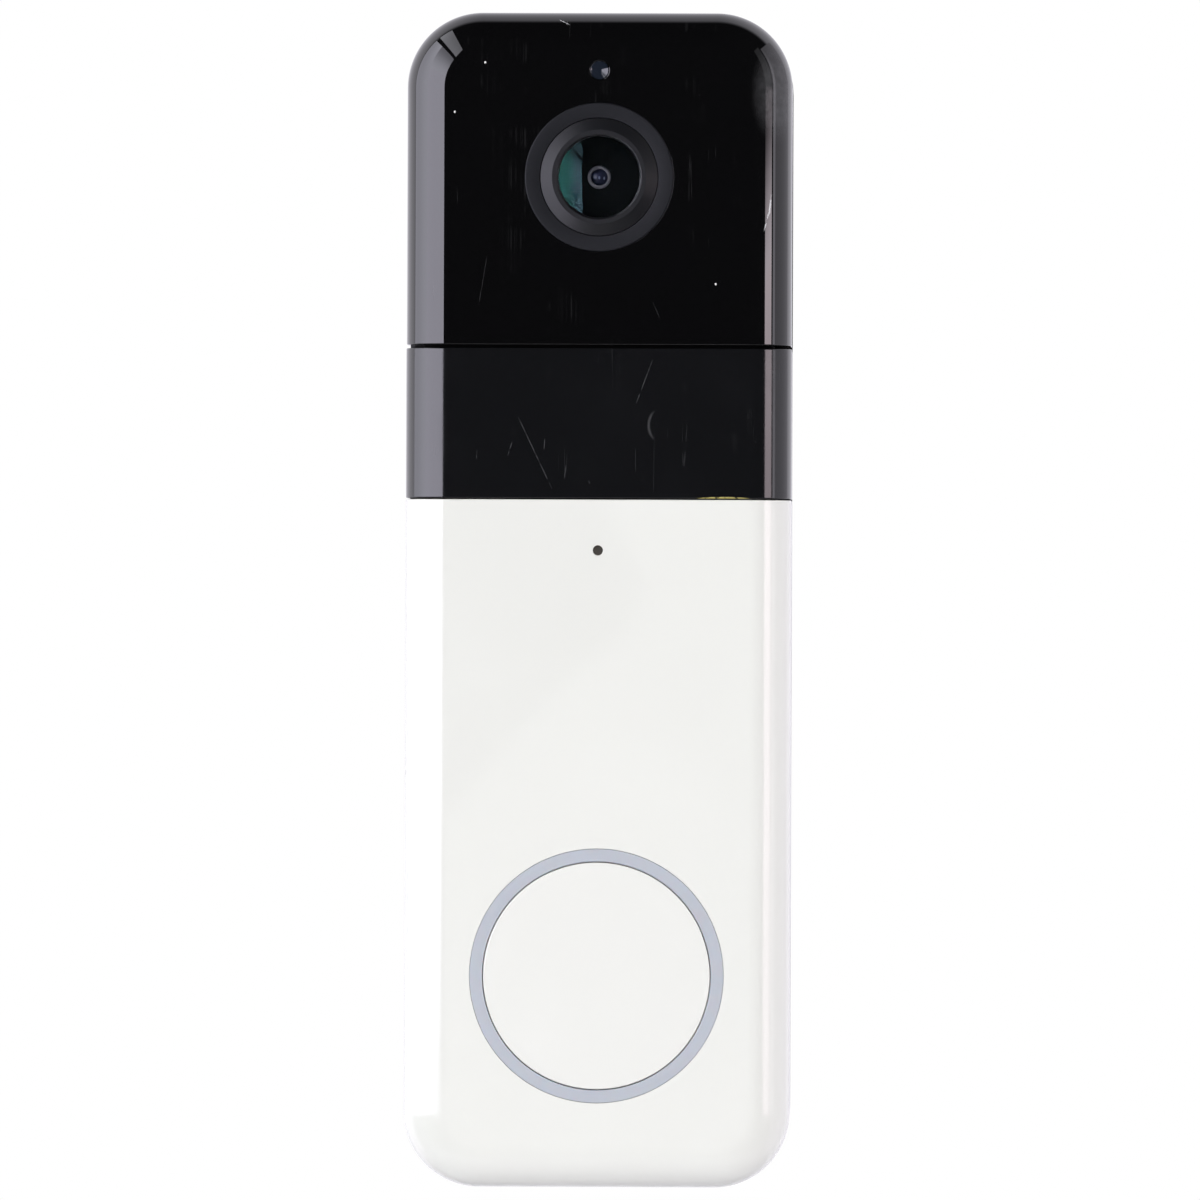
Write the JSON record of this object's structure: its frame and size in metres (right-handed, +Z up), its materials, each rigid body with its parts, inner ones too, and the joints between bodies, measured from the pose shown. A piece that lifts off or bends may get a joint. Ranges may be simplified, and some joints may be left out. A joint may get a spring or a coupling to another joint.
{
  "type": "video doorbell",
  "caption": "Slim upright battery video doorbell with a domed camera, a motion window, a ringed call button and a wall bracket it slides off.",
  "frame": {"origin": "on the wall plane at the middle of the body's width and height, on the back face of the wall bracket", "axes": "+Z up, +X to the right seen from the front, -Y out of the wall towards the visitor"},
  "size_m": [0.046, 0.0311, 0.14],
  "materials": {
    "bracket_plastic": "fine moulded texture",
    "spring_steel": "satin",
    "white_shell": "high gloss",
    "black_cover": "mirror-like high gloss",
    "window_plastic": "gloss",
    "black_plastic": "fine moulded texture",
    "trim_plastic": "matte",
    "black_rubber": "matte",
    "steel": "satin",
    "lens_glass": "polished, with a green coating",
    "sensor_glass": "gloss",
    "circuit_board": "solder mask",
    "chip": "matte",
    "brass_plate": "satin",
    "copper_foil": "foil",
    "cream_plastic": "moulded",
    "cell_sleeve": "shrink film",
    "cradle_plastic": "moulded",
    "setup_plastic": "satin",
    "cone": "matte",
    "steel_mesh": "woven mesh, black",
    "button_plastic": "high gloss",
    "ring_plastic": "satin, translucent",
    "led": "gloss",
    "clear_rubber": "silicone, satin"
  },
  "bodies": {
    "bracket": {"wall_bracket": "bracket_plastic", "bracket_clip": "spring_steel", "clip_rivets": "spring_steel"},
    "doorbell": {"front_housing": "white_shell", "camera_cover": "black_cover", "pir_window": "window_plastic", "inner_frame": "black_plastic", "rear_housing": "black_plastic", "lens_holder": "black_plastic", "pir_holder": "black_plastic", "terminal_block": "black_plastic", "setup_switch": "black_plastic", "speaker_frame": "black_plastic", "switch_body": "black_plastic", "aperture_disc": "black_plastic", "lens_barrel": "black_plastic", "lens_trim_ring": "trim_plastic", "lens_bezel": "trim_plastic", "housing_seal": "black_rubber", "microphone_gasket": "black_rubber", "speaker_gasket": "black_rubber", "usb_cover_stud": "black_rubber", "housing_screws": "steel", "board_screws": "steel", "button_board_screws": "steel", "board_spacers": "steel", "pir_sensor": "steel", "radio_shield": "steel", "usb_socket": "steel", "terminal_screws": "steel", "battery_tabs": "steel", "front_lens": "lens_glass", "pupil_lens": "lens_glass", "image_sensor": "sensor_glass", "ir_emitters": "sensor_glass", "light_pipe": "sensor_glass", "sensor_board": "circuit_board", "ir_board": "circuit_board", "microphone_board": "circuit_board", "main_board": "circuit_board", "battery_board": "circuit_board", "button_board": "circuit_board", "processor": "chip", "light_sensor": "chip", "microphone": "brass_plate", "terminal_plates": "brass_plate", "antenna": "copper_foil", "board_connector": "cream_plastic", "battery_plug": "cream_plastic", "battery_cells": "cell_sleeve", "battery_cradle": "cradle_plastic", "speaker_cone": "cone", "speaker_mesh": "steel_mesh", "light_ring": "ring_plastic", "ring_leds": "led", "button_return_pad": "clear_rubber"},
    "call_button": {"button_cap": "button_plastic", "switch_plunger": "cream_plastic"},
    "setup_button": {"setup_button": "setup_plastic"},
    "charging_flap": {"usb_cover": "black_rubber"}
  },
  "joints": [
    {"name": "lift_off", "type": "slide", "parent": "bracket", "child": "doorbell", "axis": [0, 0, 1], "range_m": [0, 0.0084], "deforming": ["bracket_clip"]},
    {"name": "call_button_press", "type": "slide", "parent": "doorbell", "child": "call_button", "axis": [0, 1, 0], "range_m": [0, 0.0005], "stiffness_N_per_m": 2500, "springref_m": -0.0002, "deforming": ["button_return_pad"]},
    {"name": "setup_button_press", "type": "slide", "parent": "doorbell", "child": "setup_button", "axis": [0, -1, 0], "range_m": [0, 0.0004], "stiffness_N_per_m": 1500, "springref_m": -0.0002},
    {"name": "charging_flap_open", "type": "hinge", "parent": "doorbell", "child": "charging_flap", "pos_m": [-0.0084, -0.00125, 0.05], "axis": [0, 0, 1], "range_deg": [0, 110]}
  ]
}
